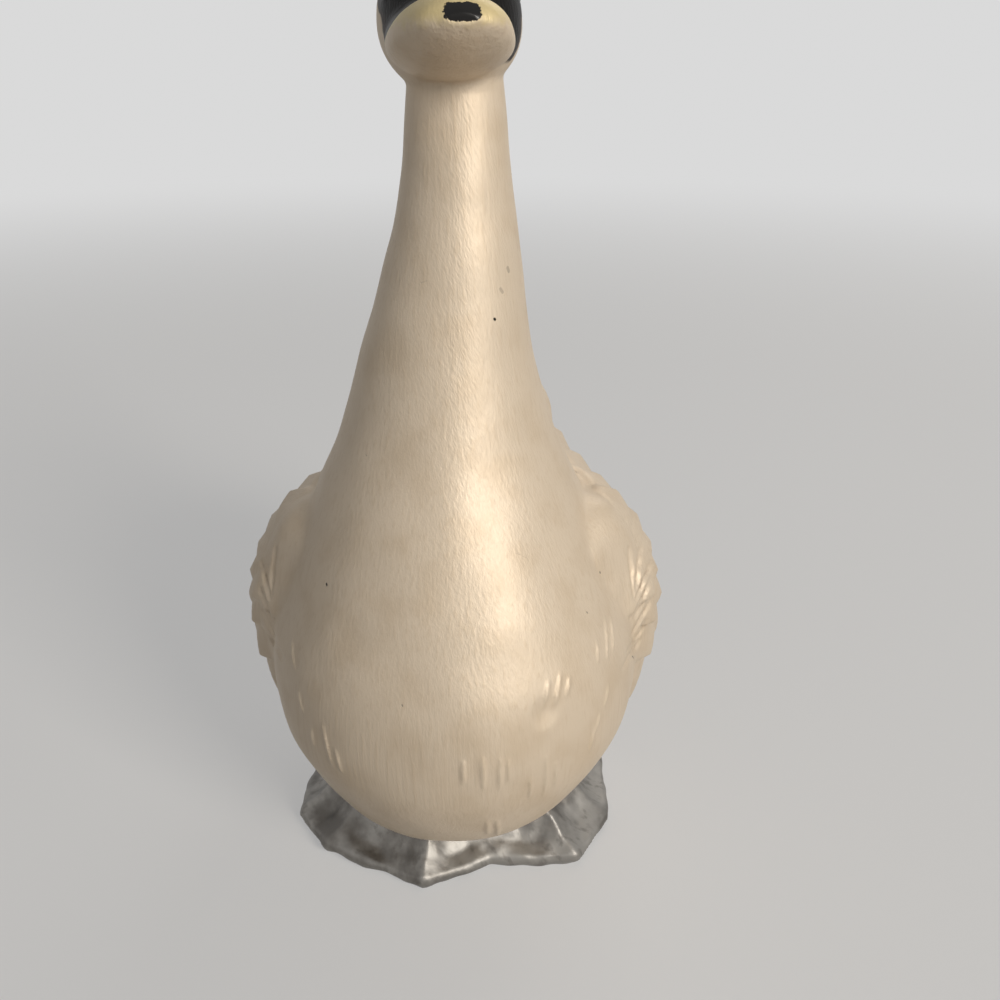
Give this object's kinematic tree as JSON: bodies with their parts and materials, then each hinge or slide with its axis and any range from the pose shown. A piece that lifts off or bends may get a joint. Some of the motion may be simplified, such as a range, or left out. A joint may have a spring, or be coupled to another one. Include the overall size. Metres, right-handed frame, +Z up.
{
  "type": "swan figurine",
  "caption": "Tall cast swan ornament with an upright neck, blunt bill, folded feathered wings, a short raised tail and a low rocky foot with a flat underside.",
  "frame": {"origin": "middle of the flat underside of the foot, on the surface that the figurine stands on", "axes": "+Z up along the neck, -Y the way the bill points, +X to the right for someone looking at the bill's side of the figure"},
  "size_m": [0.0822, 0.1096, 0.159],
  "materials": {
    "pearl_paint": "brushed pearl off-white paint on cast resin, with a gloss black mask and bill tip and a silver-grey painted foot"
  },
  "bodies": {
    "root": {"swan_figurine": "pearl_paint"}
  },
  "joints": []
}
